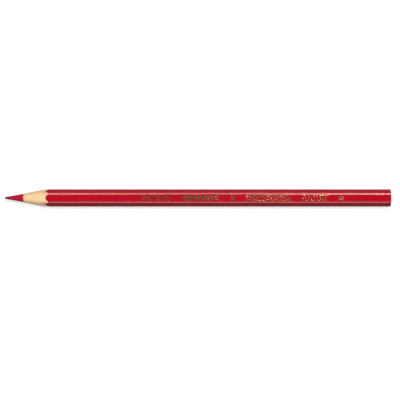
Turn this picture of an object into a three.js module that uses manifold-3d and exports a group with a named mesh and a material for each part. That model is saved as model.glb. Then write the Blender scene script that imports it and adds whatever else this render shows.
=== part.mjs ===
// A sharpened hexagonal coloured pencil, with gold foil ornaments on its upper facet.
// Millimetres, +Z up. The pencil lies along X on one facet, with its point towards -X.
// The origin is on the resting facet, halfway along the pencil.
import * as THREE from "three";
import { mergeVertices } from "three/addons/utils/BufferGeometryUtils.js";
import Module from "manifold-3d";

const wasm = await Module();
wasm.setup();

// Driving dimensions of the barrel
const pencilLength = 175;
const acrossFlats = 7.1; // over the lacquer, facet to facet
const edgeRadius = 1.1; // rounding of the six long edges, over the lacquer
const lacquerThickness = 0.07;
const primerThickness = 0.03;

// Driving dimensions of the inside
const coreDiameter = 3.8;
const glueThickness = 0.06;
const fitClearance = 0.01; // between each layer and the next

// Driving dimensions of the sharpened end
const tipRadius = 0.45;
const coreConeAngle = 10.2; // degrees from the axis to the core's cone
const woodConeAngle = 11.3; // degrees from the axis to the wood's cone
const bareFacetLength = 2.9; // bare wood between the cone and the lacquer, along a facet's middle
const coatTrimAngle = 17; // degrees from the axis to the trimmed front edge of the coats

// Driving dimensions of the foil
const foilThickness = 0.03;
const foilStroke = 0.34; // width of a fine line
const foilMargin = 0.12; // from an ornament to the rounding of the facet's edges
const foilSetback = 21.5; // from the last ornament to the butt end
const foilGap = 4.2; // between two ornaments
const ropeLength = 13.6;
const ropeTurns = 4;
const sprigLength = 18.4;
const sprigLeaves = 8; // on each side of the stem
const leafBelly = 0.1; // how near a leaf's sides come to the corners of its box, as a share
const chainLength = 20.5;
const chainLozenges = 7;
const keyLength = 13;
const keyTurns = 5;
const rosettePetals = 8;
const petalDepth = 0.5; // from a petal's end to the notch beside it
const rosetteEye = 0.42; // radius of the opening in a rosette

// Fineness of the faceted curves
const edgeArcSteps = 6; // along the rounding of one long edge
const coreSides = 48;
const coneSides = 96;
const tipArcSteps = 5;
const waveSteps = 8; // along one half wave of the rope
const leafSteps = 4; // along one side of a leaf
const petalSteps = 8; // along one petal
const eyeSides = 24;

// How far blanks and cutters run past what they make
const overrun = 1;

// Places that follow from the driving dimensions
const axisHeight = acrossFlats / 2;
const pointX = -pencilLength / 2;
const buttX = pencilLength / 2;
const coreRadius = coreDiameter / 2;
const glueInnerRadius = coreRadius + fitClearance;
const glueOuterRadius = glueInnerRadius + glueThickness;
const grooveRadius = glueOuterRadius + fitClearance;
const seamHalfGap = glueThickness / 2 + fitClearance;

// How deep each layer's surface lies under the lacquer's
const lacquerInner = lacquerThickness;
const primerOuter = lacquerInner + fitClearance;
const primerInner = primerOuter + primerThickness;
const woodOuter = primerInner + fitClearance;

const tangent = (degrees) => Math.tan(THREE.MathUtils.degToRad(degrees));
const halfFacetAngle = Math.PI / 6; // half of what one facet spans, seen from the axis
const edgeCentreReach = (axisHeight - edgeRadius) / Math.cos(halfFacetAngle);
const facetHalfWidth = (axisHeight - edgeRadius) * Math.tan(halfFacetAngle);
const edgeReach = (inset) => edgeCentreReach + edgeRadius - inset;
const foilHalfHeight = facetHalfWidth - foilMargin;

// A geometry's triangles as a solid that can be joined and cut
function solidOf(geometry) {
  const bare = geometry.clone();
  bare.deleteAttribute("normal");
  bare.deleteAttribute("uv");
  const merged = mergeVertices(bare, 1e-4);
  const mesh = new wasm.Mesh({
    numProp: 3,
    vertProperties: merged.attributes.position.array,
    triVerts: new Uint32Array(merged.index.array),
  });
  return new wasm.Manifold(mesh);
}

// A solid's triangles as a geometry
function geometryOf(solid) {
  const { vertProperties, triVerts } = solid.getMesh();
  const geometry = new THREE.BufferGeometry();
  geometry.setAttribute("position", new THREE.BufferAttribute(vertProperties, 3));
  geometry.setIndex(new THREE.BufferAttribute(triVerts, 1));
  geometry.computeVertexNormals();
  return geometry;
}

// Turns a section drawn across the pencil, x to +Y and y to +Z, into a bar along X
const acrossToBarrel = new THREE.Matrix4().set(
  0, 0, 1, pointX - overrun,
  1, 0, 0, 0,
  0, 1, 0, axisHeight,
  0, 0, 0, 1,
);

// Lays a profile that was turned about y along the pencil's axis
const turnedToBarrel = new THREE.Matrix4().set(
  0, 1, 0, pointX,
  0, 0, 1, 0,
  1, 0, 0, axisHeight,
  0, 0, 0, 1,
);

function barOf(shape) {
  const depth = pencilLength + overrun;
  const geometry = new THREE.ExtrudeGeometry(shape, { depth, bevelEnabled: false });
  return solidOf(geometry.applyMatrix4(acrossToBarrel));
}

// Each point of the profile is a radius and a distance behind the pencil's point
function turned(profile, sides) {
  const points = profile.map(([radius, distance]) => new THREE.Vector2(radius, distance));
  const geometry = new THREE.LatheGeometry(points, sides);
  return solidOf(geometry.applyMatrix4(turnedToBarrel));
}

// A round bar that ends with the pencil, or a cutter for a round hole that runs out of its end
function roundBar(radius, back = pencilLength) {
  const front = -overrun;
  return turned([[0, front], [radius, front], [radius, back], [0, back]], coreSides);
}

const roundHole = (radius) => roundBar(radius, pencilLength + overrun);

// The rounded hexagon of the barrel, at an inset below the lacquer's surface.
// Two of its edges point to +Y and -Y, so one facet lies flat below and one above.
function hexagon(inset) {
  const radius = edgeRadius - inset;
  const points = [];
  for (let edge = 0; edge < 6; edge++) {
    const middle = 2 * halfFacetAngle * edge;
    for (let step = 0; step <= edgeArcSteps; step++) {
      const angle = middle + halfFacetAngle * ((2 * step) / edgeArcSteps - 1);
      points.push(new THREE.Vector2(
        edgeCentreReach * Math.cos(middle) + radius * Math.cos(angle),
        edgeCentreReach * Math.sin(middle) + radius * Math.sin(angle),
      ));
    }
  }
  return points;
}

// A coat is a tube between two rounded hexagons
function coat(outerInset, innerInset) {
  const shape = new THREE.Shape(hexagon(outerInset));
  shape.holes.push(new THREE.Path(hexagon(innerInset)));
  return barOf(shape);
}

// The sharpened end: a blunt tip, the core's cone, then the wood's cone
const tipTurn = Math.PI / 2 - THREE.MathUtils.degToRad(coreConeAngle);
const tipEndRadius = tipRadius * Math.sin(tipTurn);
const tipEnd = tipRadius * (1 - Math.cos(tipTurn));
const coreEnd = tipEnd + (coreRadius - tipEndRadius) / tangent(coreConeAngle);
const coneDistance = (radius) => coreEnd + (radius - coreRadius) / tangent(woodConeAngle);
const clearRadius = edgeReach(0) + overrun;

function sharpenedSpace() {
  const profile = [];
  for (let step = 0; step <= tipArcSteps; step++) {
    const turn = (tipTurn * step) / tipArcSteps;
    profile.push([tipRadius * Math.sin(turn), tipRadius * (1 - Math.cos(turn))]);
  }
  profile.push([coreRadius, coreEnd]);
  profile.push([clearRadius, coneDistance(clearRadius)]);
  profile.push([clearRadius, pencilLength + overrun]);
  profile.push([0, pencilLength + overrun]);
  return turned(profile, coneSides);
}

// The coats end in a steeper cone, a little behind the wood's
const coatFront = coneDistance(axisHeight - woodOuter) + bareFacetLength;
const trimDistance = (radius) => coatFront + (radius - axisHeight) / tangent(coatTrimAngle);

function coatedSpace() {
  return turned([
    [0, trimDistance(0)],
    [clearRadius, trimDistance(clearRadius)],
    [clearRadius, pencilLength + overrun],
    [0, pencilLength + overrun],
  ], coneSides);
}

// A box across the pencil's whole length, between two heights over the axis
function slab(halfWidth, low, high) {
  const length = pencilLength + 2 * overrun;
  const box = new THREE.BoxGeometry(length, 2 * halfWidth, high - low);
  return solidOf(box.translate(0, 0, axisHeight + (low + high) / 2));
}

// Core, casing and glue

const sharpened = sharpenedSpace();
const coated = coatedSpace();

function pigmentCore() {
  return roundBar(coreRadius).intersect(sharpened);
}

function slat(side) {
  const wood = barOf(new THREE.Shape(hexagon(woodOuter))).intersect(sharpened);
  const heights = [side * seamHalfGap, side * clearRadius].sort((a, b) => a - b);
  return wood.intersect(slab(clearRadius, ...heights)).subtract(roundHole(grooveRadius));
}

// The glue is a sleeve round the core, with a wing in the seam on either side
function glueFilm() {
  const wingReach = edgeReach(woodOuter) - fitClearance;
  const barrel = barOf(new THREE.Shape(hexagon(0)));
  const wings = slab(wingReach, -glueThickness / 2, glueThickness / 2).intersect(barrel);
  const film = roundBar(glueOuterRadius).add(wings).subtract(roundHole(glueInnerRadius));
  return film.intersect(sharpened);
}

// Foil ornaments, drawn with x along the pencil and y across the facet, from x = 0 on

function plate(shape) {
  return solidOf(new THREE.ExtrudeGeometry(shape, { depth: foilThickness, bevelEnabled: false }));
}

// A line of even width through the points, with mitred corners
function ribbon(points, width) {
  const left = [];
  const right = [];
  points.forEach((point, i) => {
    const before = points[Math.max(i - 1, 0)];
    const after = points[Math.min(i + 1, points.length - 1)];
    const arriving = (i ? point.clone().sub(before) : after.clone().sub(point)).normalize();
    const leaving = (after === point ? arriving.clone() : after.clone().sub(point)).normalize();
    const across = new THREE.Vector2(-arriving.y - leaving.y, arriving.x + leaving.x).normalize();
    const reach = width / 2 / Math.abs(across.dot(new THREE.Vector2(-leaving.y, leaving.x)));
    left.push(point.clone().addScaledVector(across, reach));
    right.unshift(point.clone().addScaledVector(across, -reach));
  });
  return new THREE.Shape([...left, ...right]);
}

// Two waves that cross like the strands of a rope
function rope() {
  const steps = 2 * ropeTurns * waveSteps;
  const height = foilHalfHeight - foilStroke / 2;
  const strand = (side) => {
    const points = [];
    for (let step = 0; step <= steps; step++) {
      const along = (ropeLength * step) / steps;
      const turn = (Math.PI * step) / waveSteps;
      points.push(new THREE.Vector2(along, side * height * Math.sin(turn)));
    }
    return plate(ribbon(points, foilStroke));
  };
  return strand(1).add(strand(-1));
}

// A stem with pairs of pointed leaves
function sprig() {
  const pitch = sprigLength / (sprigLeaves + 1);
  const stem = [new THREE.Vector2(0, 0), new THREE.Vector2(sprigLength - pitch / 2, 0)];
  let foil = plate(ribbon(stem, foilStroke));
  for (let leaf = 0; leaf < sprigLeaves; leaf++) {
    for (const side of [1, -1]) {
      const root = pitch * (leaf + 0.5);
      const at = (along, across) => [root + along * pitch, side * across * foilHalfHeight];
      const outline = new THREE.Shape();
      outline.moveTo(...at(0, 0));
      outline.quadraticCurveTo(...at(1 - leafBelly, leafBelly), ...at(1, 1));
      outline.quadraticCurveTo(...at(leafBelly, 1 - leafBelly), ...at(0, 0));
      foil = foil.add(plate(new THREE.Shape(outline.getPoints(leafSteps))));
    }
  }
  return foil;
}

// Open lozenges that touch at their points, between two fine rules
function chain() {
  const half = chainLength / chainLozenges / 2;
  const inner = foilHalfHeight - foilStroke;
  const lap = foilStroke / 4; // of a lozenge's corners over what they touch
  const rule = (height) => plate(ribbon([
    new THREE.Vector2(0, height),
    new THREE.Vector2(chainLength, height),
  ], foilStroke));
  let foil = rule(inner + foilStroke / 2).add(rule(-inner - foilStroke / 2));
  for (let lozenge = 0; lozenge < chainLozenges; lozenge++) {
    const middle = half * (2 * lozenge + 1);
    const corners = (reach, height) => [[reach, 0], [0, height], [-reach, 0], [0, -height]]
      .map(([x, y]) => new THREE.Vector2(middle + x, y));
    const outline = new THREE.Shape(corners(half + lap, inner + lap));
    outline.holes.push(new THREE.Path(corners(half - foilStroke, inner - foilStroke)));
    foil = foil.add(plate(outline));
  }
  return foil;
}

// A running line that turns square, up and down
function key() {
  const step = keyLength / keyTurns / 2;
  const height = foilHalfHeight - foilStroke / 2;
  const points = [];
  for (let turn = 0; turn < 2 * keyTurns; turn++) {
    const side = turn % 2 ? 1 : -1;
    points.push(new THREE.Vector2(step * turn, side * height));
    points.push(new THREE.Vector2(step * (turn + 1), side * height));
  }
  return plate(ribbon(points, foilStroke));
}

// A round flower with an open eye
function rosette() {
  const sides = rosettePetals * petalSteps;
  const outline = [];
  for (let side = 0; side < sides; side++) {
    const turn = (2 * Math.PI * side) / sides;
    const notch = (petalDepth / 2) * (1 - Math.cos(rosettePetals * turn));
    const reach = foilHalfHeight - notch;
    outline.push(new THREE.Vector2(reach * Math.cos(turn), reach * Math.sin(turn)));
  }
  const eye = [];
  for (let side = 0; side < eyeSides; side++) {
    const turn = (-2 * Math.PI * side) / eyeSides;
    eye.push(new THREE.Vector2(rosetteEye * Math.cos(turn), rosetteEye * Math.sin(turn)));
  }
  const shape = new THREE.Shape(outline);
  shape.holes.push(new THREE.Path(eye));
  return plate(shape).translate([foilHalfHeight, 0, 0]);
}

// Materials

function finish(color, roughness, metalness) {
  return new THREE.MeshStandardMaterial({ color, roughness, metalness });
}

const pigment = () => finish(0xb81430, 0.55, 0);
const cedar = () => finish(0xe9c590, 0.75, 0);
const glue = () => finish(0xd8b070, 0.4, 0);
const undercoat = () => finish(0xf0dccb, 0.6, 0);
const lacquer = () => finish(0xb40c22, 0.15, 0);
const goldFoil = () => finish(0xd6a860, 0.25, 1);

// The assembly

function piece(name, solid, material) {
  const mesh = new THREE.Mesh(geometryOf(solid), material);
  mesh.name = name;
  return mesh;
}

const casing = new THREE.Group();
casing.add(piece("pigment_core", pigmentCore(), pigment()));
casing.add(piece("upper_slat", slat(1), cedar()));
casing.add(piece("lower_slat", slat(-1), cedar()));
casing.add(piece("glue_film", glueFilm(), glue()));

const coats = new THREE.Group();
coats.add(piece("primer_coat", coat(primerOuter, primerInner).intersect(coated), undercoat()));
coats.add(piece("lacquer_coat", coat(0, lacquerInner).intersect(coated), lacquer()));

// The foil lies on the upper facet. Its ornaments are placed from the butt end towards the point,
// each by the end that is nearer to the point.
const foil = new THREE.Group();
foil.position.z = acrossFlats;
let foilEnd = buttX - foilSetback;

function addFoil(name, solid, length) {
  const ornament = piece(name, solid, goldFoil());
  ornament.position.x = foilEnd - length;
  foil.add(ornament);
  foilEnd -= length + foilGap;
}

addFoil("foil_rear_rosette", rosette(), 2 * foilHalfHeight);
addFoil("foil_key_band", key(), keyLength);
addFoil("foil_lozenge_chain", chain(), chainLength);
addFoil("foil_middle_rosette", rosette(), 2 * foilHalfHeight);
addFoil("foil_leaf_sprig", sprig(), sprigLength);
addFoil("foil_rope_band", rope(), ropeLength);

const pencil = new THREE.Group();
pencil.add(casing, coats, foil);

export default pencil;
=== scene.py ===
# %% [markdown]
# # A lacquered coloured pencil
# The object is a sharpened pencil with a thick red core, two glued slats of pale wood, a
# pale undercoat, a glossy red lacquer and gold foil on one facet. Its sizes come from a packed
# CAD model, so the first step loads that model, and no size here is fitted by eye. Every node
# of it is then either given a finish or replaced by a finer mesh of the same size.

# %% Load the frame
import math

import bmesh
import bpy
from mathutils import Matrix, Vector


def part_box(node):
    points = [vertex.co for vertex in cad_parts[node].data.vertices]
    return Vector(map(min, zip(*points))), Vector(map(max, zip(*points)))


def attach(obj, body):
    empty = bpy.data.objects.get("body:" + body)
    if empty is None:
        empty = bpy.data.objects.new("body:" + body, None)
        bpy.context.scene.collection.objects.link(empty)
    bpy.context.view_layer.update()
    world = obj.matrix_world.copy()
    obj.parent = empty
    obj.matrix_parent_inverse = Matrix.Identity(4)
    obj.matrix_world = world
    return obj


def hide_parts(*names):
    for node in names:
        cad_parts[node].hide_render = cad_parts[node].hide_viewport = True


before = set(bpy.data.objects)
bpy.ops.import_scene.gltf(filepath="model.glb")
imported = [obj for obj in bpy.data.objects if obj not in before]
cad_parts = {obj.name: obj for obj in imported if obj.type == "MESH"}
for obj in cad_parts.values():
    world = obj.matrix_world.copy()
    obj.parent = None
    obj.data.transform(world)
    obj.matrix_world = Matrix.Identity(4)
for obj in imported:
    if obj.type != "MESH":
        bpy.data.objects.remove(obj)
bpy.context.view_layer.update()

MM = 0.001
print("nodes:", sorted(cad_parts))

# %% [markdown]
# ## Sizes
# The pencil lies along X with its point to the left, and rests on one facet. What a box can
# tell is read from the frame: how far the barrel is across its facets and edges, where the
# wood and the coats begin, and how thick the core is. Only what no box shows, such as the
# thickness of a coat or the angle of a cone, is written down, as the CAD has it.

# %% Sizes that the frame gives, and those that it doesn't
lacquer_low, lacquer_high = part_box("lacquer_coat")
core_low, core_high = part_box("pigment_core")
wood_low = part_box("lower_slat")[0]
undercoat_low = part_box("primer_coat")[0]

TIP_X = core_low.x
BUTT_X = core_high.x
AXIS_Z = (lacquer_low.z + lacquer_high.z) / 2
APOTHEM = (lacquer_high.z - lacquer_low.z) / 2
EDGE_REACH = lacquer_high.y
COS_30 = math.cos(math.radians(30))
TAN_30 = math.tan(math.radians(30))
EDGE_RADIUS = (APOTHEM / COS_30 - EDGE_REACH) / (1 / COS_30 - 1)
CORE_RADIUS = (core_high.z - core_low.z) / 2

CLEARANCE = 0.01 * MM
LACQUER_THICKNESS = 0.07 * MM
UNDERCOAT_THICKNESS = 0.03 * MM
GLUE_THICKNESS = 0.06 * MM
TIP_RADIUS = 0.45 * MM
CORE_ANGLE = math.radians(10.2)
WOOD_ANGLE = math.radians(11.3)
TRIM_ANGLE = math.radians(17)

UNDERCOAT_DEPTH = APOTHEM - (AXIS_Z - undercoat_low.z)
WOOD_DEPTH = APOTHEM - (AXIS_Z - wood_low.z)
GROOVE_RADIUS = CORE_RADIUS + GLUE_THICKNESS + 2 * CLEARANCE
SEAM_HALF_GAP = GLUE_THICKNESS / 2 + CLEARANCE
OVERRUN = 1 * MM
CLEAR_RADIUS = EDGE_REACH + OVERRUN

print(f"across facets {2 * APOTHEM / MM:.2f} mm, across edges {2 * EDGE_REACH / MM:.2f} mm")
print(f"edge rounding {EDGE_RADIUS / MM:.2f} mm, core {2 * CORE_RADIUS / MM:.2f} mm")

# %% [markdown]
# ## Camera
# The photograph looks straight down on the facet with the foil, and the pencil nearly fills
# its width. The cut end shows a little of its perspective, which puts the camera at about
# three quarters of a metre. A long lens then frames the length exactly. The pencil sits two
# pixels up and left of the middle, so the camera stands that much to the lower right.

# %% Camera over the pencil
PHOTO_SIDE = 400
POINT_PX = 4.8
BUTT_PX = 390.5
AXIS_ROW_PX = 197.94
CAMERA_DISTANCE = 750 * MM
SENSOR_MM = 36

metres_per_px = (BUTT_X - TIP_X) / (BUTT_PX - POINT_PX)
camera_x = (PHOTO_SIDE - POINT_PX - BUTT_PX) / 2 * metres_per_px
camera_y = (AXIS_ROW_PX - PHOTO_SIDE / 2) * metres_per_px
bpy.ops.object.camera_add(
    location=(camera_x, camera_y, AXIS_Z + CAMERA_DISTANCE), rotation=(0, 0, 0)
)
camera = bpy.context.object
camera.name = "photo_camera"
camera.data.sensor_width = SENSOR_MM
camera.data.lens = SENSOR_MM * CAMERA_DISTANCE / (PHOTO_SIDE * metres_per_px)
camera.data.clip_start = 0.01
camera.data.clip_end = 20
bpy.context.scene.camera = camera
print(f"lens {camera.data.lens:.1f} mm, {metres_per_px / MM:.4f} mm per pixel")

# %% [markdown]
# ## Working in edit mode
# An operator acts on all that is selected, and the loaded nodes and every new primitive
# arrive selected. These helpers select one object alone, open it with nothing picked, and
# pick edges or faces by a test on their place.

# %% Helpers for selecting
def only(piece):
    bpy.ops.object.select_all(action="DESELECT")
    piece.select_set(True)
    bpy.context.view_layer.objects.active = piece


def open_mesh(piece):
    only(piece)
    bpy.ops.object.mode_set(mode="EDIT")
    bpy.ops.mesh.select_all(action="DESELECT")
    return bmesh.from_edit_mesh(piece.data)


def close_mesh():
    bpy.ops.object.mode_set(mode="OBJECT")


def pick(piece, kind, test):
    """Selects the edges or faces that pass the test, and nothing else."""
    bpy.ops.mesh.select_all(action="DESELECT")
    bpy.ops.mesh.select_mode(type="EDGE" if kind == "edges" else "FACE")
    mesh = bmesh.from_edit_mesh(piece.data)
    for item in getattr(mesh, kind):
        if test(item):
            item.select_set(True)
    bmesh.update_edit_mesh(piece.data)


# %% [markdown]
# ## Cutting and settling
# Every layer is cut from plain solids, with exact booleans and with planes. A finished mesh
# is then settled: vertices that fall on one another are merged, the faces are turned
# outwards, and only its true creases stay sharp. It prints how many open edges it has left,
# which has to be none.

# %% Helpers for cutting and settling
MERGE_DISTANCE = 1e-7
PLANE_TOLERANCE = 1e-8


def apply_modifier(piece, kind, **settings):
    only(piece)
    modifier = piece.modifiers.new(kind.lower(), kind)
    for name, value in settings.items():
        setattr(modifier, name, value)
    bpy.ops.object.modifier_apply(modifier=modifier.name)


def cut(piece, operation, cutter):
    """Joins or cuts with another solid, which is used up."""
    apply_modifier(piece, "BOOLEAN", operation=operation, object=cutter, solver="EXACT")
    bpy.data.objects.remove(cutter)


def saw(piece, place, normal, **settings):
    """Cuts a mesh along a plane. It stays whole unless the settings say what goes."""
    open_mesh(piece)
    bpy.ops.mesh.select_all(action="SELECT")
    bpy.ops.mesh.bisect(
        plane_co=place, plane_no=normal, threshold=PLANE_TOLERANCE, **settings
    )
    close_mesh()


def settle(piece, name, sharp_above):
    """Cleans a finished mesh, and creases it only at edges above an angle in degrees."""
    piece.name = name
    piece.data.name = name
    open_mesh(piece)
    bpy.ops.mesh.select_all(action="SELECT")
    bpy.ops.mesh.remove_doubles(threshold=MERGE_DISTANCE)
    bpy.ops.mesh.dissolve_degenerate(threshold=MERGE_DISTANCE)
    bpy.ops.mesh.normals_make_consistent(inside=False)
    edges = bmesh.from_edit_mesh(piece.data).edges
    open_edges = sum(not edge.is_manifold for edge in edges)
    close_mesh()
    bpy.ops.object.shade_smooth_by_angle(angle=math.radians(sharp_above))
    apply_modifier(piece, "WEIGHTED_NORMAL", keep_sharp=True, weight=50)
    faces = len(piece.data.polygons)
    size = " x ".join(f"{side / MM:.2f}" for side in piece.dimensions)
    print(f"{name}: {faces} faces, {open_edges} open edges, {size} mm")
    return piece


# %% [markdown]
# ## The barrel's section
# The barrel's layers are all the same section at different depths: a hexagon with rounded
# edges. A six-sided cylinder has the right flats, and a bevel on its long edges rounds them,
# which is quicker than drawing arcs. A bevel's profile of 0.5 is a circle only at a square
# corner, so the profile is worked out for 120 degrees, where it passes through the arc's
# middle.

# %% A hexagonal bar with rounded long edges
EDGE_STEPS = 14
ARC_PROFILE = (math.sqrt(3) - 1) ** 2


def runs_along(edge):
    """Whether an edge leads from one end of a bar to the other."""
    return abs(edge.verts[0].co.x - edge.verts[1].co.x) > OVERRUN


def hexagonal_bar(depth, start, end):
    """A bar along X whose surface lies at a depth below the lacquer's."""
    bpy.ops.object.select_all(action="DESELECT")
    bpy.ops.mesh.primitive_cylinder_add(
        vertices=6,
        radius=(APOTHEM - depth) / COS_30,
        depth=end - start,
        location=((start + end) / 2, 0, AXIS_Z),
        rotation=(0, math.radians(90), 0),
    )
    bar = bpy.context.object
    bpy.ops.object.transform_apply(location=True, rotation=True, scale=True)
    open_mesh(bar)
    pick(bar, "edges", runs_along)
    bpy.ops.mesh.bevel(
        offset_type="OFFSET",
        offset=(EDGE_RADIUS - depth) * TAN_30,
        segments=EDGE_STEPS,
        profile=ARC_PROFILE,
        affect="EDGES",
        clamp_overlap=False,
    )
    close_mesh()
    return bar


# %% [markdown]
# ## Turned solids
# The core, its groove and both cones are solids of revolution. Extruding a circle along the
# axis and resizing it at each station makes one, without the seam that a spin leaves to be
# merged. The circle's middle is drawn forward to close the tip.

# %% A solid of revolution about the pencil's axis
TURNED_SIDES = 192


def turned_solid(stations, sides=TURNED_SIDES):
    """Extrudes a disc through stations of (x, radius), from its closed tip to its closed end."""
    (tip_x, _), (first_x, first_radius) = stations[:2]
    bpy.ops.object.select_all(action="DESELECT")
    bpy.ops.mesh.primitive_circle_add(
        vertices=sides,
        radius=first_radius,
        fill_type="TRIFAN",
        location=(first_x, 0, AXIS_Z),
        rotation=(0, math.radians(-90), 0),
    )
    solid = bpy.context.object
    bpy.ops.object.transform_apply(location=True, rotation=True, scale=True)
    mesh = open_mesh(solid)
    for vertex in mesh.verts:
        if (vertex.co - Vector((first_x, 0, AXIS_Z))).length < first_radius / 2:
            vertex.co.x = tip_x
    pick(solid, "edges", lambda edge: edge.is_boundary)
    x, radius = first_x, first_radius
    for next_x, next_radius in stations[2:]:
        bpy.ops.mesh.extrude_edges_move(TRANSFORM_OT_translate={"value": (next_x - x, 0, 0)})
        share = next_radius / radius
        bpy.ops.transform.resize(value=(1, share, share), center_override=(next_x, 0, AXIS_Z))
        x, radius = next_x, next_radius
    bpy.ops.mesh.edge_face_add()
    bpy.ops.mesh.select_all(action="SELECT")
    bpy.ops.mesh.normals_make_consistent(inside=False)
    close_mesh()
    return solid


def round_bar(radius, start, end, sides=TURNED_SIDES):
    return turned_solid([(start, 0), (start, radius), (end, radius)], sides)


# %% [markdown]
# ## The sharpened end
# The tip is blunt, then the core's cone runs back to where the wood begins, and the wood's
# cone is a little steeper. The same stations shape the core itself and the solid that the
# slats are cut with, so wood and core meet without a step.

# %% Stations of the tip, the core's cone and the wood's cone
TIP_STEPS = 12

tip_turn = math.pi / 2 - CORE_ANGLE
tip_stations = [
    (
        TIP_X + TIP_RADIUS * (1 - math.cos(tip_turn * step / TIP_STEPS)),
        TIP_RADIUS * math.sin(tip_turn * step / TIP_STEPS),
    )
    for step in range(TIP_STEPS + 1)
]
cone_x, cone_radius = tip_stations[-1]
core_end_x = cone_x + (CORE_RADIUS - cone_radius) / math.tan(CORE_ANGLE)


def wood_cone_x(radius):
    return core_end_x + (radius - CORE_RADIUS) / math.tan(WOOD_ANGLE)


def sharpened_space(end=BUTT_X + OVERRUN):
    """What a sharpener leaves of a thick bar, up to an end."""
    return turned_solid(
        tip_stations
        + [
            (core_end_x, CORE_RADIUS),
            (wood_cone_x(CLEAR_RADIUS), CLEAR_RADIUS),
            (end, CLEAR_RADIUS),
        ]
    )


print(f"the core shows for {(core_end_x - TIP_X) / MM:.2f} mm")
print(f"the wood begins {(wood_low.x - TIP_X) / MM:.2f} mm from the point")

# %% [markdown]
# ## Core
# The core is a rod of pigment and wax. It is extruded through its own stations, and its cut
# end is inset and pushed in by a hair, because a saw drags the soft wax out below the wood.

# %% Core
CORE_END_INSET = 0.12 * MM
CORE_END_DROP = 0.05 * MM


def at_butt(face):
    return face.calc_center_median().x > BUTT_X - CORE_END_DROP


def make_core():
    core = turned_solid(tip_stations + [(core_end_x, CORE_RADIUS), (BUTT_X, CORE_RADIUS)])
    open_mesh(core)
    pick(core, "faces", at_butt)
    bpy.ops.mesh.inset(thickness=CORE_END_INSET)
    bpy.ops.transform.translate(value=(-CORE_END_DROP, 0, 0))
    close_mesh()
    return settle(core, "core_rod", sharp_above=30)


core = make_core()

# %% [markdown]
# ## Slats
# The casing starts as one bar of wood. It is sharpened, bored for the core and its glue, and
# sawn in two at the plane through two opposite edges, which is where real slats are glued.
# The bar is made once for each half, and its cut is filled as it is sawn, so both halves
# stay closed.

# %% Slats
def make_slat(name, side):
    """The half of the casing above the seam, with a side of 1, or below it, with one of -1."""
    slat = hexagonal_bar(WOOD_DEPTH, TIP_X - OVERRUN, BUTT_X)
    cut(slat, "INTERSECT", sharpened_space())
    cut(slat, "DIFFERENCE", round_bar(GROOVE_RADIUS, TIP_X - 2 * OVERRUN, BUTT_X + OVERRUN))
    seam = (0, 0, AXIS_Z + side * SEAM_HALF_GAP)
    saw(slat, seam, (0, 0, side), use_fill=True, clear_inner=True)
    return settle(slat, name, sharp_above=8)


upper_slat = make_slat("casing_upper", 1)
lower_slat = make_slat("casing_lower", -1)

# %% [markdown]
# ## Glue
# The glue is a film: a sleeve round the core, with a wing in the seam on either side. Two
# bars are joined, sharpened and bored like the slats. A boolean is least sure where edges or
# faces of two solids fall on one another, and it may then leave gaps, or nothing. So each bar
# here ends at a place of its own, past the butt, and the round ones have fewer sides than
# the cone that they meet.

# %% Glue film
GLUE_SIDES = 170


def make_glue():
    sleeve_radius = GROOVE_RADIUS - CLEARANCE
    glue = round_bar(sleeve_radius, TIP_X - OVERRUN, BUTT_X + 2 * OVERRUN, GLUE_SIDES)
    wing_reach = EDGE_REACH - WOOD_DEPTH - CLEARANCE
    bpy.ops.object.select_all(action="DESELECT")
    bpy.ops.mesh.primitive_cube_add(
        size=1,
        location=((TIP_X + BUTT_X) / 2, 0, AXIS_Z),
        scale=(BUTT_X - TIP_X + OVERRUN, 2 * wing_reach, GLUE_THICKNESS),
    )
    wings = bpy.context.object
    bpy.ops.object.transform_apply(location=True, rotation=True, scale=True)
    cut(glue, "UNION", wings)
    cut(glue, "INTERSECT", sharpened_space(BUTT_X))
    bore_radius = CORE_RADIUS + CLEARANCE
    bore = round_bar(bore_radius, TIP_X - 2 * OVERRUN, BUTT_X + 3 * OVERRUN, GLUE_SIDES)
    cut(glue, "DIFFERENCE", bore)
    return settle(glue, "glue_bond", sharp_above=30)


glue = make_glue()

# %% [markdown]
# ## The coats' front edge
# The coats are trimmed in front by a steeper cone than the wood's, which gives the scallops:
# a tongue on each facet and a notch at each edge. A real trimmed edge is never quite clean,
# so a cloud texture pushes the trimming cone to and fro along the pencil by a hair.

# %% Space behind the trimming cone
TRIM_SIDES = 360
TRIM_STATIONS = 10
TRIM_INSIDE = 0.8 * APOTHEM
TRIM_OUTSIDE = EDGE_REACH + OVERRUN / 2
TRIM_UNEVENNESS = 0.1 * MM
TRIM_GRAIN = 0.5 * MM


def coat_trim_x(radius):
    """Where the trimming cone has a radius, from the coats' foremost point in the frame."""
    innermost = APOTHEM - LACQUER_THICKNESS
    return lacquer_low.x + (radius - innermost) / math.tan(TRIM_ANGLE)


def coated_space():
    """What the coats may fill, with its stations close together where the cone meets them."""
    reach = TRIM_OUTSIDE - TRIM_INSIDE
    radii = [TRIM_INSIDE + reach * step / TRIM_STATIONS for step in range(TRIM_STATIONS + 1)]
    stations = [(coat_trim_x(0), 0)]
    stations += [(coat_trim_x(radius), radius) for radius in radii]
    stations += [(BUTT_X + OVERRUN, TRIM_OUTSIDE)]
    space = turned_solid(stations, TRIM_SIDES)
    texture = bpy.data.textures.new("trim_unevenness", "CLOUDS")
    texture.noise_scale = TRIM_GRAIN
    apply_modifier(
        space,
        "DISPLACE",
        texture=texture,
        texture_coords="LOCAL",
        direction="X",
        strength=TRIM_UNEVENNESS,
        mid_level=0.5,
    )
    return space


# %% [markdown]
# ## Coats
# A coat is the space between two bars, with its front trimmed off. The uneven cone leaves
# many vertices along the scallops, and each would fan out into slivers as long as the barrel
# and bend its highlights. A ring of edges close behind the scallops keeps them short.

# %% Undercoat and lacquer
RING_GAP = 0.3 * MM


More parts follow.
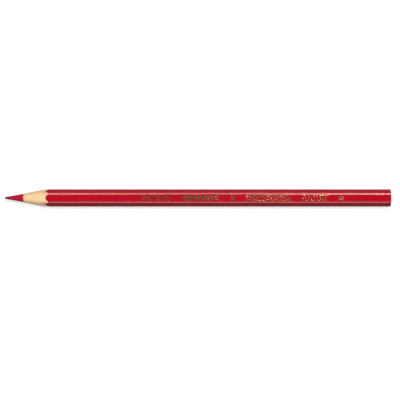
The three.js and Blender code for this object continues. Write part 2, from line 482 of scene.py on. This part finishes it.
def make_coat(name, depth, thickness):
    coat = hexagonal_bar(depth, TIP_X, BUTT_X)
    cut(coat, "DIFFERENCE", hexagonal_bar(depth + thickness, TIP_X - OVERRUN, BUTT_X + OVERRUN))
    cut(coat, "INTERSECT", coated_space())
    saw(coat, (coat_trim_x(EDGE_REACH) + RING_GAP, 0, 0), (1, 0, 0))
    return settle(coat, name, sharp_above=8)


undercoat = make_coat("undercoat_shell", UNDERCOAT_DEPTH, UNDERCOAT_THICKNESS)
lacquer = make_coat("lacquer_shell", 0, LACQUER_THICKNESS)

# %% [markdown]
# ## Finishes
# Each finish is a small node tree around one Principled shader. Patterns are solid: they read
# Object coordinates, mostly as millimetres, so the wood's rings run through the cone, the
# flats and the end grain alike. Whatever is the same all over a surface is set on the shader
# itself.

# %% Helpers for a material and its patterns
def new_material(name):
    material = bpy.data.materials.new(name)
    material.use_nodes = True
    tree = material.node_tree
    tree.nodes.clear()
    output = tree.nodes.new("ShaderNodeOutputMaterial")
    shader = tree.nodes.new("ShaderNodeBsdfPrincipled")
    tree.links.new(shader.outputs["BSDF"], output.inputs["Surface"])
    return material, tree, shader


def dress(piece, material):
    piece.data.materials.clear()
    piece.data.materials.append(material)
    print(f"{piece.name} wears {material.name}")


def object_coordinates(tree, offset=(0, 0, 0), scale=(1, 1, 1)):
    """Object coordinates in millimetres, stretched and then moved."""
    source = tree.nodes.new("ShaderNodeTexCoord")
    mapping = tree.nodes.new("ShaderNodeMapping")
    mapping.inputs["Location"].default_value = offset
    mapping.inputs["Scale"].default_value = [s / MM for s in scale]
    tree.links.new(source.outputs["Object"], mapping.inputs["Vector"])
    return mapping.outputs["Vector"]


def noise(tree, vector, per_mm, detail=3, roughness=0.5):
    """Cloudy noise with so many spots in a millimetre, where nothing stretches it."""
    node = tree.nodes.new("ShaderNodeTexNoise")
    node.inputs["Scale"].default_value = per_mm
    node.inputs["Detail"].default_value = detail
    node.inputs["Roughness"].default_value = roughness
    tree.links.new(vector, node.inputs["Vector"])
    return node.outputs["Fac"]


def bump(tree, shader, pattern, height, strength=1.0):
    """Raises the surface by a height in metres where the pattern is 1."""
    node = tree.nodes.new("ShaderNodeBump")
    node.inputs["Distance"].default_value = height
    node.inputs["Strength"].default_value = strength
    tree.links.new(pattern, node.inputs["Height"])
    tree.links.new(node.outputs["Normal"], shader.inputs["Normal"])


# %% [markdown]
# ## Colours and sums in a node tree
# A pattern is a number between 0 and 1. A ramp turns it into a colour, a mix lays one colour
# over another by it, and a sum or a range joins and reshapes it. Each helper adds one node
# and returns its output.

# %% Helpers for colours and sums
def feed(tree, target, value):
    """Links a socket to another node's output, or sets it to a value."""
    if isinstance(value, bpy.types.NodeSocket):
        tree.links.new(value, target)
    else:
        target.default_value = value


def ramp(tree, value, *stops):
    """A colour ramp through stops of (position, colour)."""
    node = tree.nodes.new("ShaderNodeValToRGB")
    elements = node.color_ramp.elements
    while len(elements) < len(stops):
        elements.new(0.5)
    for element, (position, colour) in zip(elements, stops):
        element.position = position
        element.color = (*colour, 1)
    tree.links.new(value, node.inputs["Fac"])
    return node.outputs["Color"]


def grey_ramp(tree, value, *stops):
    return ramp(tree, value, *[(position, (level,) * 3) for position, level in stops])


def mix_colours(tree, share, first, second, blend="MIX"):
    node = tree.nodes.new("ShaderNodeMix")
    node.data_type = "RGBA"
    node.blend_type = blend
    for socket, value in (("Factor", share), ("A", first), ("B", second)):
        feed(tree, next(s for s in node.inputs if s.name == socket and s.enabled), value)
    return next(s for s in node.outputs if s.enabled)


def calculate(tree, operation, *values):
    node = tree.nodes.new("ShaderNodeMath")
    node.operation = operation
    for target, value in zip(node.inputs, values):
        feed(tree, target, value)
    return node.outputs["Value"]


def spread(tree, value, start, end, low=0.0, high=1.0):
    """Turns a value between start and end into one between low and high, held past both."""
    node = tree.nodes.new("ShaderNodeMapRange")
    node.inputs["From Min"].default_value = start
    node.inputs["From Max"].default_value = end
    node.inputs["To Min"].default_value = low
    node.inputs["To Max"].default_value = high
    tree.links.new(value, node.inputs["Value"])
    return node.outputs["Result"]


# %% [markdown]
# ## Red dust on the wood
# The blade leaves a little red dust where it ran over the core and the coats, which blushes
# the wood at both ends of the cone. How much is read from the place along the pencil, and the
# cut end has none, since no blade came there.

# %% Where the dust lies
BLUSH_LENGTH = 1.5 * MM
BLUSH_SHARE = 0.92


def place_along(tree):
    """Where a point lies along the pencil, in metres."""
    source = tree.nodes.new("ShaderNodeTexCoord")
    parts = tree.nodes.new("ShaderNodeSeparateXYZ")
    tree.links.new(source.outputs["Object"], parts.inputs["Vector"])
    return parts.outputs["X"]


def blush(tree):
    """How much red dust lies on the wood, beside the core and the coats."""
    x = place_along(tree)
    by_core = spread(tree, x, core_end_x + BLUSH_LENGTH, core_end_x)
    by_coats = spread(tree, x, lacquer_low.x - BLUSH_LENGTH, lacquer_low.x)
    before_butt = spread(tree, x, BUTT_X, BUTT_X - BLUSH_LENGTH)
    by_coats = calculate(tree, "MINIMUM", by_coats, before_butt)
    nearest = calculate(tree, "MAXIMUM", by_core, by_coats)
    return calculate(tree, "MULTIPLY", nearest, BLUSH_SHARE)


# %% [markdown]
# ## Growth rings
# Pencil wood is pale and straight-grained. Its rings are parts of large cylinders about a
# pith far outside the pencil, so a ring texture about a distant centre gives gentle bands.

# %% Growth rings
WAVE_PERIOD = 0.314  # a wave texture of scale 1 repeats after this length
RING_WIDTH_MM = 1.3
RING_STRETCH = 0.004


def growth_rings(tree, pith_mm, seed_mm):
    """0 where a ring begins, rising to 0.75 where it ends in its dark line."""
    about_pith = object_coordinates(
        tree, offset=(seed_mm, *pith_mm), scale=(RING_STRETCH, 1, 1)
    )
    rings = tree.nodes.new("ShaderNodeTexWave")
    rings.wave_type = "RINGS"
    rings.rings_direction = "X"
    rings.wave_profile = "SAW"
    rings.inputs["Scale"].default_value = WAVE_PERIOD / RING_WIDTH_MM
    rings.inputs["Distortion"].default_value = 1.2
    rings.inputs["Detail"].default_value = 2
    rings.inputs["Detail Scale"].default_value = 0.8
    tree.links.new(about_pith, rings.inputs["Vector"])
    return grey_ramp(tree, rings.outputs["Fac"], (0.0, 0.0), (0.75, 0.35), (1.0, 0.75))


# %% [markdown]
# ## Wood
# Fibres and pores are noise, stretched some thirty times along the pencil and laid over the
# rings. The two slats come from different boards, so each has its own pith.

# %% Wood finish
WOOD_LIGHT = (0.99, 0.715, 0.39)
WOOD_DARK = (0.72, 0.44, 0.20)
WOOD_BLUSH = (1.0, 0.49, 0.34)
RING_WEIGHT = 0.55
GRAIN_SHARE = 0.45
FIBRE_STRETCH = 0.03
FIBRE_HEIGHT = 0.02 * MM


def wood_finish(name, pith_mm, seed_mm):
    material, tree, shader = new_material(name)
    along_grain = object_coordinates(
        tree, offset=(seed_mm, 0, 0), scale=(FIBRE_STRETCH, 1, 1)
    )
    fibres = noise(tree, along_grain, per_mm=7, detail=5, roughness=0.65)
    streaks = grey_ramp(tree, fibres, (0.35, 0.0), (0.7, 0.8))
    rings = growth_rings(tree, pith_mm, seed_mm)
    darkness = calculate(tree, "MULTIPLY_ADD", rings, RING_WEIGHT, streaks)
    darkness.node.use_clamp = True
    share = calculate(tree, "MULTIPLY", darkness, GRAIN_SHARE)
    colour = mix_colours(tree, share, (*WOOD_LIGHT, 1), (*WOOD_DARK, 1))
    pores = noise(tree, along_grain, per_mm=16, detail=2)
    specks = grey_ramp(tree, pores, (0.66, 1.0), (0.74, 0.72))
    colour = mix_colours(tree, 1.0, colour, specks, "MULTIPLY")
    colour = mix_colours(tree, blush(tree), colour, (*WOOD_BLUSH, 1))
    tree.links.new(colour, shader.inputs["Base Color"])
    shader.inputs["Roughness"].default_value = 0.7
    shader.inputs["Specular IOR Level"].default_value = 0.1
    bump(tree, shader, fibres, FIBRE_HEIGHT, strength=0.6)
    return material


dress(upper_slat, wood_finish("cedar_upper", pith_mm=(14, -31), seed_mm=3))
dress(lower_slat, wood_finish("cedar_lower", pith_mm=(-22, 27), seed_mm=47))

# %% [markdown]
# ## Pigment
# The core is waxy: it has a soft shine, tiny specks of pigment, and fine rings round the cone
# from the blade. The rings are a wave along the axis, much finer than the eye follows. The
# colour turns darker over the last millimetres towards the blunt tip.

# %% Pigment finish
PIGMENT_COLOUR = (0.55, 0.015, 0.040)
PIGMENT_DARK = (0.31, 0.007, 0.019)
# the colour of the last millimetres towards the tip, which are darker
PIGMENT_TIP_DARK = (0.13, 0.022, 0.028)
TIP_DARK_LENGTH = 3 * MM
BLADE_PITCH_MM = 0.1427
BLADE_HEIGHT = 0.012 * MM


def pigment_finish():
    material, tree, shader = new_material("waxy_pigment")
    place = object_coordinates(tree)
    mottle = noise(tree, place, per_mm=3.5, detail=4)
    colour = ramp(tree, mottle, (0.3, PIGMENT_DARK), (0.6, PIGMENT_COLOUR))
    towards_tip = spread(tree, place_along(tree), TIP_X + TIP_DARK_LENGTH, TIP_X)
    colour = mix_colours(tree, towards_tip, colour, (*PIGMENT_TIP_DARK, 1))
    tree.links.new(colour, shader.inputs["Base Color"])
    shader.inputs["Roughness"].default_value = 0.45
    shader.inputs["Specular IOR Level"].default_value = 0.15
    blade = tree.nodes.new("ShaderNodeTexWave")
    blade.bands_direction = "X"
    blade.inputs["Scale"].default_value = WAVE_PERIOD / BLADE_PITCH_MM
    blade.inputs["Distortion"].default_value = 3
    blade.inputs["Detail"].default_value = 2
    tree.links.new(place, blade.inputs["Vector"])
    grain = noise(tree, place, per_mm=14, detail=2)
    marks = mix_colours(tree, 0.5, blade.outputs["Fac"], grain)
    bump(tree, shader, marks, BLADE_HEIGHT, strength=0.7)
    return material


dress(core, pigment_finish())

# %% [markdown]
# ## Glue and undercoat
# Both show only as hairlines: the glue as a darker line in the seam and round the core, and
# the undercoat as a pale rim ahead of the lacquer. Each still gets a little mottling, since
# a close view of the cut end shows them.

# %% Glue and undercoat finishes
GLUE_LIGHT = (0.80, 0.50, 0.28)
GLUE_DARK = (0.66, 0.38, 0.20)
UNDERCOAT_LIGHT = (0.88, 0.62, 0.50)
UNDERCOAT_DARK = (0.78, 0.52, 0.42)
MOTTLE_HEIGHT = 0.005 * MM


def hairline_finish(name, light, dark, roughness):
    material, tree, shader = new_material(name)
    mottle = noise(tree, object_coordinates(tree), per_mm=5)
    colour = ramp(tree, mottle, (0.35, dark), (0.65, light))
    tree.links.new(colour, shader.inputs["Base Color"])
    shader.inputs["Roughness"].default_value = roughness
    shader.inputs["Specular IOR Level"].default_value = 0.05
    bump(tree, shader, mottle, MOTTLE_HEIGHT, strength=0.5)
    return material


dress(glue, hairline_finish("glue_film", GLUE_LIGHT, GLUE_DARK, roughness=0.4))
dress(undercoat, hairline_finish("undercoat", UNDERCOAT_LIGHT, UNDERCOAT_DARK, roughness=0.6))

# %% [markdown]
# ## Distances on the barrel
# The lacquer's finish changes with the distance from the pencil's axis, which is least in the
# middle of a facet and grows over the rounded edges. Where the blade cut through the lacquer,
# the scallops end in a thin dark line of painted shade, standing for the shadow at the coat's
# cut front. It follows the trimming cone: on that cone, the place along the pencil grows evenly
# with the distance from the axis.

# %% Edges and scallops, found by their distance from the axis
SHADE_LINE_OFFSET = 0.25 * MM
SHADE_LINE_FADE = 0.35 * MM


def axis_distance(tree):
    """How far a point lies from the pencil's axis, in millimetres."""
    about_axis = object_coordinates(tree, offset=(0, 0, -AXIS_Z / MM), scale=(0, 1, 1))
    length = tree.nodes.new("ShaderNodeVectorMath")
    length.operation = "LENGTH"
    tree.links.new(about_axis, length.inputs[0])
    return length.outputs["Value"]


def edge_distance(slope):
    """How far from the axis, in mm, a rounded edge leans away from its facet by a slope."""
    from_facet = APOTHEM - EDGE_RADIUS + EDGE_RADIUS * math.cos(slope)
    from_middle = (APOTHEM - EDGE_RADIUS) * TAN_30 + EDGE_RADIUS * math.sin(slope)
    return math.hypot(from_facet, from_middle) / MM


def cut_shade_line(tree, distance):
    """Painted shade: 1 along the scallops' edge, and 0 a short way behind them."""
    cone_x = calculate(tree, "MULTIPLY", distance, MM / math.tan(TRIM_ANGLE))
    behind = calculate(tree, "SUBTRACT", place_along(tree), cone_x)
    start = coat_trim_x(0) + SHADE_LINE_OFFSET
    return spread(tree, behind, start + SHADE_LINE_FADE, start)


# %% [markdown]
# ## Lacquer
# The lacquer is deep red under a thin clear varnish, so its colour is a matt base and its
# gloss is a coat over it. Pencils lie in their tin edge against edge, which polishes the edges
# and leaves the facets a little satin. So the coat is full on the rounded edges and light on
# the facets, which keeps them red where they mirror the white floor. Dipped and drawn through
# a ring, the lacquer dries with very shallow waves, longer along the pencil than across, and
# these make the highlights tremble.

# %% Lacquer finish
LACQUER_COLOUR = (0.49, 0.0048, 0.0225)
LACQUER_DEEP = (0.44, 0.0035, 0.0175)
# painted shade: the dark line along the coat's cut front
LACQUER_CUT_SHADE = (0.24, 0.012, 0.006)
FACET_COAT = 0.16
EDGE_COAT = 0.9
POLISH_SLOPE = math.radians(10)
FLOW_STRETCH = 0.3
WAVE_HEIGHT = 0.05 * MM


def coat_weight(tree, distance):
    """Light on the facets, and full where an edge leans by more than the polish slope."""
    facet_end = edge_distance(0)
    full_coat = edge_distance(POLISH_SLOPE)
    return spread(tree, distance, facet_end, full_coat, FACET_COAT, EDGE_COAT)


def lacquer_finish():
    material, tree, shader = new_material("red_lacquer")
    place = object_coordinates(tree, scale=(FLOW_STRETCH, 1, 1))
    distance = axis_distance(tree)
    cloud = noise(tree, place, per_mm=0.35, detail=2)
    colour = ramp(tree, cloud, (0.35, LACQUER_DEEP), (0.65, LACQUER_COLOUR))
    # a thin line of painted shade along the scallops' cut front
    colour = mix_colours(tree, cut_shade_line(tree, distance), colour, (*LACQUER_CUT_SHADE, 1))
    tree.links.new(colour, shader.inputs["Base Color"])
    shader.inputs["Roughness"].default_value = 0.5
    shader.inputs["Specular IOR Level"].default_value = 0.0
    tree.links.new(coat_weight(tree, distance), shader.inputs["Coat Weight"])
    shader.inputs["Coat Roughness"].default_value = 0.13
    shader.inputs["Coat IOR"].default_value = 1.5
    waves = noise(tree, place, per_mm=0.55, detail=2)
    bump(tree, shader, waves, WAVE_HEIGHT)
    normal = shader.inputs["Normal"].links[0].from_socket
    tree.links.new(normal, shader.inputs["Coat Normal"])
    return material


dress(lacquer, lacquer_finish())

# %% [markdown]
# ## Foil
# Hot foil is a metal film a few micrometres thick. Pressed onto lacquer it wrinkles, so one
# stroke mirrors a lamp and the next the dark room. A metal shader with a bump of less than a
# millimetre's pitch gives that sparkle, and worn spots let some of the red through.

# %% Foil finish
FOIL_GOLD = (0.82, 0.44, 0.27)
FOIL_WORN = (0.42, 0.09, 0.05)
WRINKLE_HEIGHT = 0.05 * MM


def foil_finish():
    material, tree, shader = new_material("gold_foil")
    place = object_coordinates(tree)
    wear = noise(tree, place, per_mm=2.2, detail=4, roughness=0.6)
    colour = ramp(tree, wear, (0.34, FOIL_WORN), (0.44, FOIL_GOLD))
    tree.links.new(colour, shader.inputs["Base Color"])
    shader.inputs["Metallic"].default_value = 1.0
    shader.inputs["Roughness"].default_value = 0.15
    wrinkles = noise(tree, place, per_mm=1.5, detail=2)
    bump(tree, shader, wrinkles, WRINKLE_HEIGHT)
    return material


foil = foil_finish()
foil_pieces = [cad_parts[name] for name in sorted(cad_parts) if name.startswith("foil_")]
for piece in foil_pieces:
    dress(piece, foil)

# %% [markdown]
# ## What stands for what
# Every new mesh rides on the one body and replaces its CAD node, which is hidden; each row
# also lists its finish's slot, which nothing here uses. The foil nodes are shown as they are.

# %% Bodies, replaced nodes and slots
for piece, node, slot in (
    (core, "pigment_core", "pigment"),
    (upper_slat, "upper_slat", "cedar"),
    (lower_slat, "lower_slat", "cedar"),
    (glue, "glue_film", "glue"),
    (undercoat, "primer_coat", "primer"),
    (lacquer, "lacquer_coat", "lacquer"),
):
    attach(piece, "root")
    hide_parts(node)
    print(f"{piece.name} replaces {node}")

# %% [markdown]
# ## Floor
# The pencil lies on a plain white floor. Its whiteness is for the camera, mirrors and glass:
# most of it is a glow that only their rays see, and the rest is plain paint, which keeps the
# pencil's shadow. What the floor scatters back is dark, because a bright floor washes out the
# deep red of the side facets.

# %% Floor
FLOOR_SIDE = 16
FLOOR_GAP = 0.02 * MM
FLOOR_GLOW = 0.75
FLOOR_PAINT = 0.30
FLOOR_SCATTER = 0.06


def grey(level):
    return (level, level, level, 1)


def seen_directly(tree):
    """1 for camera, glossy and transmission rays, and 0 for diffuse ones."""
    path = tree.nodes.new("ShaderNodeLightPath")
    seen = calculate(tree, "MAXIMUM", path.outputs["Is Camera Ray"], path.outputs["Is Glossy Ray"])
    return calculate(tree, "MAXIMUM", seen, path.outputs["Is Transmission Ray"])


def floor_finish():
    material, tree, shader = new_material("floor_paper")
    seen = seen_directly(tree)
    paint = mix_colours(tree, seen, grey(FLOOR_SCATTER), grey(FLOOR_PAINT))
    glow = calculate(tree, "MULTIPLY", seen, FLOOR_GLOW)
    tree.links.new(paint, shader.inputs["Base Color"])
    tree.links.new(glow, shader.inputs["Emission Strength"])
    shader.inputs["Emission Color"].default_value = grey(1)
    shader.inputs["Roughness"].default_value = 0.9
    shader.inputs["Specular IOR Level"].default_value = 0.0
    return material


bpy.ops.object.select_all(action="DESELECT")
bpy.ops.mesh.primitive_plane_add(size=FLOOR_SIDE, location=(0, 0, -FLOOR_GAP))
floor = bpy.context.object
floor.name = "floor"
dress(floor, floor_finish())

# %% [markdown]
# ## Room
# The room is white at the horizon and dark overhead, for whatever looks at it or mirrors it.
# As light on the colours it is nearly black, so the lamps alone shape the facets.

# %% Room
HORIZON_LEVEL = 1.0
HORIZON_TOP = 0.3
OVERHEAD_LEVEL = 0.05
OVERHEAD_START = 0.75
FILL_LEVEL = 0.02


def make_room():
    world = bpy.data.worlds.new("room")
    bpy.context.scene.world = world
    world.use_nodes = True
    tree = world.node_tree
    tree.nodes.clear()
    output = tree.nodes.new("ShaderNodeOutputWorld")
    background = tree.nodes.new("ShaderNodeBackground")
    tree.links.new(background.outputs["Background"], output.inputs["Surface"])
    direction = tree.nodes.new("ShaderNodeTexCoord")
    parts = tree.nodes.new("ShaderNodeSeparateXYZ")
    tree.links.new(direction.outputs["Generated"], parts.inputs["Vector"])
    horizon = (HORIZON_TOP, HORIZON_LEVEL)
    overhead = (OVERHEAD_START, OVERHEAD_LEVEL)
    sky = grey_ramp(tree, parts.outputs["Z"], horizon, overhead)
    colour = mix_colours(tree, seen_directly(tree), grey(FILL_LEVEL), sky)
    tree.links.new(colour, background.inputs["Color"])
    print(f"room: {HORIZON_LEVEL} at the horizon, {OVERHEAD_LEVEL} overhead")


make_room()

# %% [markdown]
# ## Lamps
# One soft lamp stands almost overhead, a little towards the top of the picture, so the facet
# with the foil is brightest and the lower side facet darkest. It gives no gloss of its own,
# or it would whiten the facet with the foil. A second one, low on the right, lights the cut
# end. A weak third one, from the lower side, reaches the wood alone: bare wood lets some
# light through, so its cone never gets as dark below as the lacquer does.

# %% Lamps that light the colours
def aim(light, across, along):
    """Leans a lamp from overhead towards +Y (across) and +X (along), and returns the way to it."""
    towards = Vector((math.tan(math.radians(along)), math.tan(math.radians(across)), 1))
    axis_z = towards.normalized()
    axis_x = Vector((0, 1, 0)).cross(axis_z).normalized()
    axes = Matrix((axis_x, axis_z.cross(axis_x), axis_z)).transposed()
    light.rotation_mode = "QUATERNION"
    light.rotation_quaternion = axes.to_quaternion()
    return axis_z


def distant_lamp(name, across, along, width, strength, glossy=False):
    """A far lamp, some degrees wide, that lights either the colours or only the gloss."""
    bpy.ops.object.light_add(type="SUN", location=(0, 0, 1))
    light = bpy.context.object
    light.name = name
    light.data.angle = math.radians(width)
    light.data.energy = strength
    light.visible_diffuse = not glossy
    light.visible_glossy = glossy
    aim(light, across, along)
    print(f"{name}: leans {across} degrees across and {along} along, strength {strength}")
    return light


def receivers(name, pieces):
    """A group of pieces that a lamp can be linked to, so that it lights nothing else."""
    group = bpy.data.collections.new(name)
    for piece in pieces:
        group.objects.link(piece)
    return group


distant_lamp("key_lamp", across=14, along=4, width=14, strength=3.2)
distant_lamp("butt_fill", across=0, along=87, width=30, strength=1.8)

bare = receivers("bare_wood", [upper_slat, lower_slat])
wood_fill = distant_lamp("wood_fill", across=-65, along=-10, width=40, strength=0.48)
wood_fill.light_linking.receiver_collection = bare

# %% [markdown]
# ## Strip boxes
# The bright lines along the rounded edges are mirror images, so they come from strip boxes
# that only the gloss sees. Seen from above, an edge mirrors whatever leans from overhead by
# twice the edge's own slope, so a strip that spans 26 to 88 degrees draws a line along most
# of the rounding. Two more stand towards the ends, where the photo's lines are brightest.
# They are kept off the foil, as a studio does with a black card, and the foil gets a small
# lamp of its own, beside the camera, for its glints.

# %% Strip boxes and the foil's lamp
STRIP_DISTANCE = 2
WATTS_PER_LEVEL = 4  # an area lamp of 4 watts per square metre looks as bright as level 1
GLOSS_TINT = (1.0, 0.93, 0.76)

coated = receivers("coated", [lacquer])


def strip_box(name, across, along, tall, wide, level):
    """A strip that spans tall degrees across the pencil and wide degrees along it."""
    height = 2 * STRIP_DISTANCE * math.tan(math.radians(tall / 2))
    width = 2 * STRIP_DISTANCE * math.tan(math.radians(wide / 2))
    bpy.ops.object.light_add(type="AREA")
    light = bpy.context.object
    light.name = name
    light.location = aim(light, across, along) * STRIP_DISTANCE
    light.data.shape = "RECTANGLE"
    light.data.size = width
    light.data.size_y = height
    light.data.energy = WATTS_PER_LEVEL * level * width * height
    light.data.color = GLOSS_TINT
    light.visible_camera = False
    light.visible_diffuse = False
    light.light_linking.receiver_collection = coated
    print(f"{name}: {width:.2f} x {height:.2f} m, level {level}")


strip_box("upper_strip", across=57, along=0, tall=62, wide=24, level=3.4)
strip_box("right_strip", across=28, along=12, tall=32, wide=14, level=13)
strip_box("left_strip", across=26, along=-12, tall=30, wide=16, level=6.2)
strip_box("lower_strip", across=-54, along=0, tall=56, wide=24, level=2.3)

gilt = receivers("gilt", foil_pieces)
foil_lamp = distant_lamp("foil_lamp", across=10, along=12, width=10, strength=0.7, glossy=True)
foil_lamp.data.color = GLOSS_TINT
foil_lamp.light_linking.receiver_collection = gilt

# %% [markdown]
# ## Colour management
# The Standard view shows a colour as it is written.

# %% Colour management
bpy.context.scene.view_settings.view_transform = "Standard"
